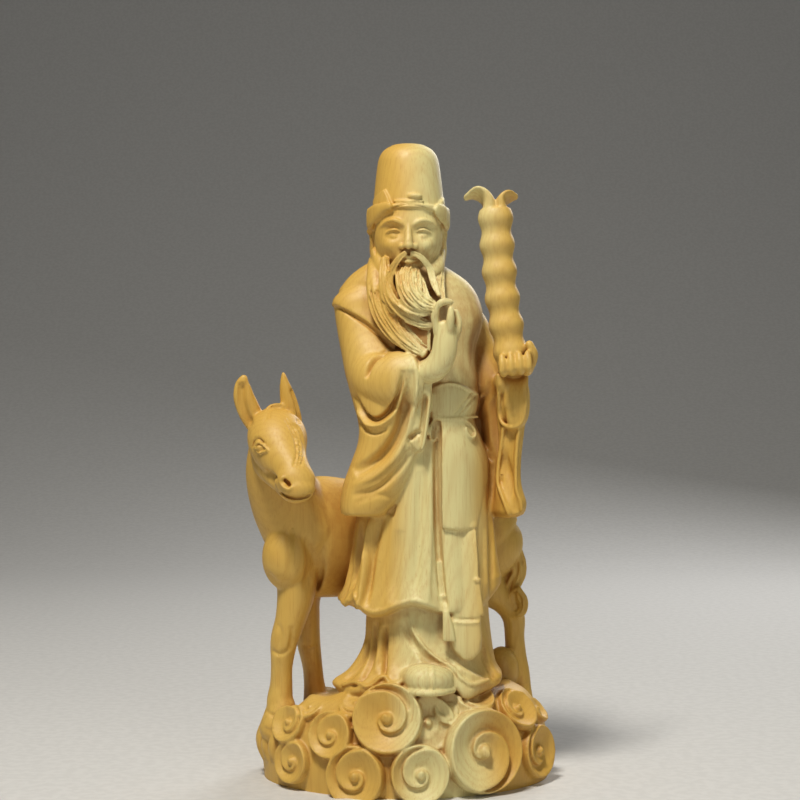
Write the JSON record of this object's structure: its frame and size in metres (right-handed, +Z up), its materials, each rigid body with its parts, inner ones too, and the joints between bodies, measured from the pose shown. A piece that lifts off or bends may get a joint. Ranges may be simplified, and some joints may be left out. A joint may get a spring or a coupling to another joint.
{
  "type": "carved wooden immortal with donkey",
  "caption": "Boxwood carving of a bearded immortal in a tall cap stroking his beard and holding up a fish drum, his donkey behind him, on a bank of cloud scrolls.",
  "frame": {"origin": "middle of the flat underside of the cloud base", "axes": "+Z up, -Y the way the immortal faces, +X to the viewer's right"},
  "size_m": [0.101, 0.0752, 0.2],
  "materials": {
    "boxwood": "satin"
  },
  "bodies": {
    "root": {"immortal_with_donkey_carving": "boxwood"}
  },
  "joints": []
}
